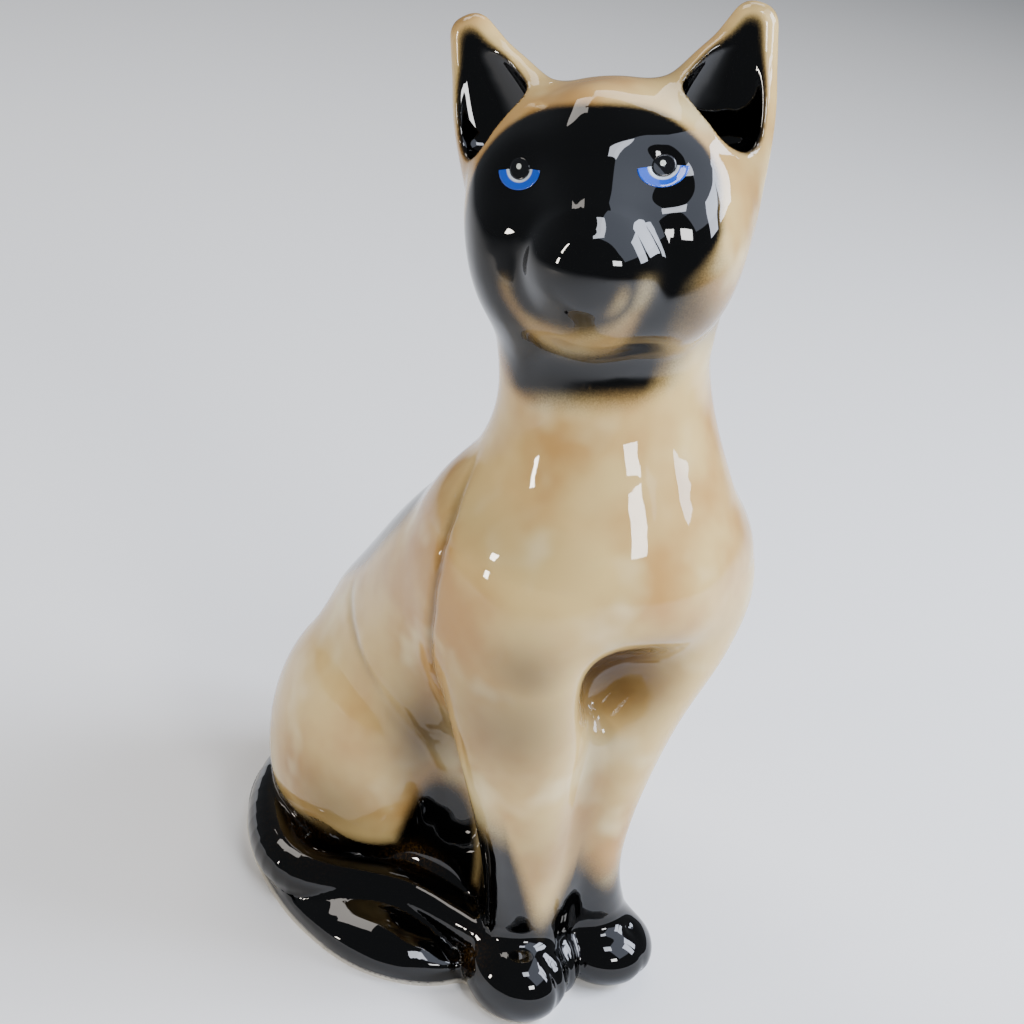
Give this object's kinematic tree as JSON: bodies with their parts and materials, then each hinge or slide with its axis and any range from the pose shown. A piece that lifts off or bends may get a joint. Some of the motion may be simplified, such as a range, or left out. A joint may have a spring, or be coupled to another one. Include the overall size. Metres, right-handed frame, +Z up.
{
  "type": "ceramic cat figurine",
  "caption": "Seated hollow ceramic cat with its head turned to its right, dark face, ears, paws and curled tail, standing on a flat base.",
  "frame": {"origin": "on the flat underside, under the middle of the neck joint", "axes": "+Z up; the body faces -Y and the cat's own left side is +X"},
  "size_m": [0.0874, 0.1123, 0.2114],
  "materials": {
    "base_slab": "black gloss glaze over cream clay, bare along the foot",
    "body_casting": "airbrushed tan under clear gloss glaze, black at the paws",
    "head_casting": "airbrushed tan with a black face under clear gloss glaze",
    "left_ear": "tan back and rim, black hollow, gloss glaze",
    "right_ear": "tan back and rim, black hollow, gloss glaze",
    "tail": "black gloss glaze",
    "left_iris": "blue fired enamel",
    "right_iris": "blue fired enamel",
    "left_pupil": "black fired enamel",
    "right_pupil": "black fired enamel",
    "left_glint": "white fired enamel dot",
    "right_glint": "white fired enamel dot"
  },
  "bodies": {
    "root": {"base_slab": "base_slab", "body_casting": "body_casting", "head_casting": "head_casting", "left_ear": "left_ear", "right_ear": "right_ear", "tail": "tail", "left_iris": "left_iris", "right_iris": "right_iris", "left_pupil": "left_pupil", "right_pupil": "right_pupil", "left_glint": "left_glint", "right_glint": "right_glint"}
  },
  "joints": []
}
